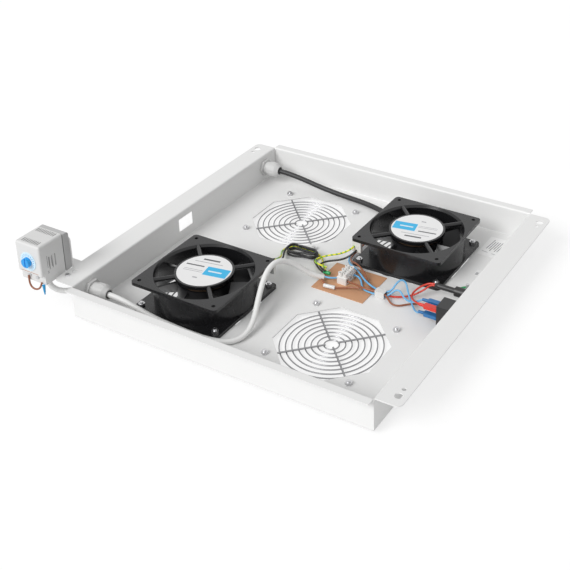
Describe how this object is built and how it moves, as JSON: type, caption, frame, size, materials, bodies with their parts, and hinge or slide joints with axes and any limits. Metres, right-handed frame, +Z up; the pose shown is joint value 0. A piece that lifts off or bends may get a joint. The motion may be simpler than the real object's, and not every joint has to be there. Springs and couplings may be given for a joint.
{
  "type": "rack fan tray",
  "caption": "Shallow folded sheet-metal rack tray with axial fans over wire finger guards, rocker switch, fuse holder, cable glands, wiring and an outboard thermostat.",
  "frame": {"origin": "middle of the object's own box, at the floor that the guard screws' heads stand on, cords left out", "axes": "+X to the side with the switch and fuse holder, +Y to the back, +Z up out of the open side"},
  "size_m": [0.486, 0.4714, 0.092],
  "materials": {
    "tray_paint": "smooth light-grey powder coat",
    "guard_wire": "bright plated wire",
    "zinc_steel": "zinc-plated",
    "fan_black": "satin black",
    "impeller_black": "moulded black",
    "shaft_steel": "ground",
    "stator_iron": "varnished",
    "label_white": "printed film",
    "grey_plastic": "moulded light grey",
    "dark_rubber": "soft",
    "black_plastic": "moulded black",
    "black_gloss": "shiny moulded black",
    "white_plastic": "moulded white",
    "blue_plastic": "moulded blue",
    "blue_vinyl": "translucent vinyl",
    "red_vinyl": "vinyl",
    "clear_plastic": "milky translucent",
    "brown_pad": "pressed board",
    "green_sticker": "printed film",
    "glass_fuse": "clear tube",
    "cable_black": "sheath",
    "cable_white": "sheath",
    "wire_black": "insulation",
    "wire_earth": "green and yellow insulation",
    "wire_blue": "insulation",
    "wire_brown": "insulation",
    "wire_red": "insulation",
    "tin": "tinned"
  },
  "bodies": {
    "tray": {"blue_load": "wire_blue", "blue_supply": "wire_blue", "bracket_screw": "zinc_steel", "brown_load": "wire_brown", "brown_supply": "wire_brown", "connector_red": "red_vinyl", "connectors_blue": "blue_vinyl", "earth_sticker": "green_sticker", "earth_stud": "zinc_steel", "fan_back_earth": "wire_earth", "fan_back_lead": "wire_black", "fan_bearings": "shaft_steel", "fan_frame_back": "fan_black", "fan_frame_front": "fan_black", "fan_front_coil": "wire_black", "fan_front_earth": "wire_earth", "fan_front_lead": "wire_black", "fan_labels": "label_white", "fan_lead_clips": "white_plastic", "fan_spider_back": "fan_black", "fan_spider_front": "fan_black", "fan_stators": "stator_iron", "finger_guard_1": "guard_wire", "finger_guard_2": "guard_wire", "finger_guard_3": "guard_wire", "finger_guard_4": "guard_wire", "fuse_holder": "black_plastic", "fuse_link": "glass_fuse", "fuse_nut": "black_plastic", "fuse_sleeve": "black_plastic", "gland_bodies": "grey_plastic", "gland_domes": "grey_plastic", "gland_locknuts": "grey_plastic", "gland_seals": "dark_rubber", "guard_nuts": "zinc_steel", "guard_screws": "zinc_steel", "insulating_pad": "brown_pad", "rating_label": "label_white", "red_fuse": "wire_red", "red_switch": "wire_red", "splice_sleeve": "white_plastic", "supply_cable": "cable_black", "supply_hank": "cable_black", "supply_plug": "black_plastic", "switch_body": "black_plastic", "switch_tabs": "tin", "terminal_block": "clear_plastic", "terminal_screws": "zinc_steel", "thermostat_base": "grey_plastic", "thermostat_bracket": "tray_paint", "thermostat_cable": "cable_white", "thermostat_dial": "label_white", "thermostat_housing": "grey_plastic", "tray_pan": "tray_paint"},
    "fan_rotor_front": {"impeller_front": "impeller_black", "fan_shaft_front": "shaft_steel"},
    "fan_rotor_back": {"impeller_back": "impeller_black", "fan_shaft_back": "shaft_steel"},
    "rocker": {"switch_rocker": "black_gloss"},
    "fuse_cap": {"fuse_cap": "black_gloss"},
    "knob": {"thermostat_knob": "blue_plastic"}
  },
  "joints": [
    {"name": "fan_front_spin", "type": "hinge", "parent": "tray", "child": "fan_rotor_front", "pos_m": [-0.0655, -0.09875, 0.02], "axis": [0, 0, 1], "continuous": true},
    {"name": "fan_back_spin", "type": "hinge", "parent": "tray", "child": "fan_rotor_back", "pos_m": [0.1055, 0.10625, 0.02], "axis": [0, 0, 1], "continuous": true},
    {"name": "switch_rock", "type": "hinge", "parent": "tray", "child": "rocker", "pos_m": [0.214, -0.01325, 0.0243], "axis": [0, 1, 0], "range_deg": [0, 16]},
    {"name": "fuse_cap_turn", "type": "hinge", "parent": "tray", "child": "fuse_cap", "pos_m": [0.2145, 0.03075, 0.0248], "axis": [1, 0, 0], "range_deg": [0, 90]},
    {"name": "thermostat_turn", "type": "hinge", "parent": "tray", "child": "knob", "pos_m": [-0.2245, -0.21, 0.06956], "axis": [0, 1, 0], "range_deg": [-135, 135]}
  ]
}
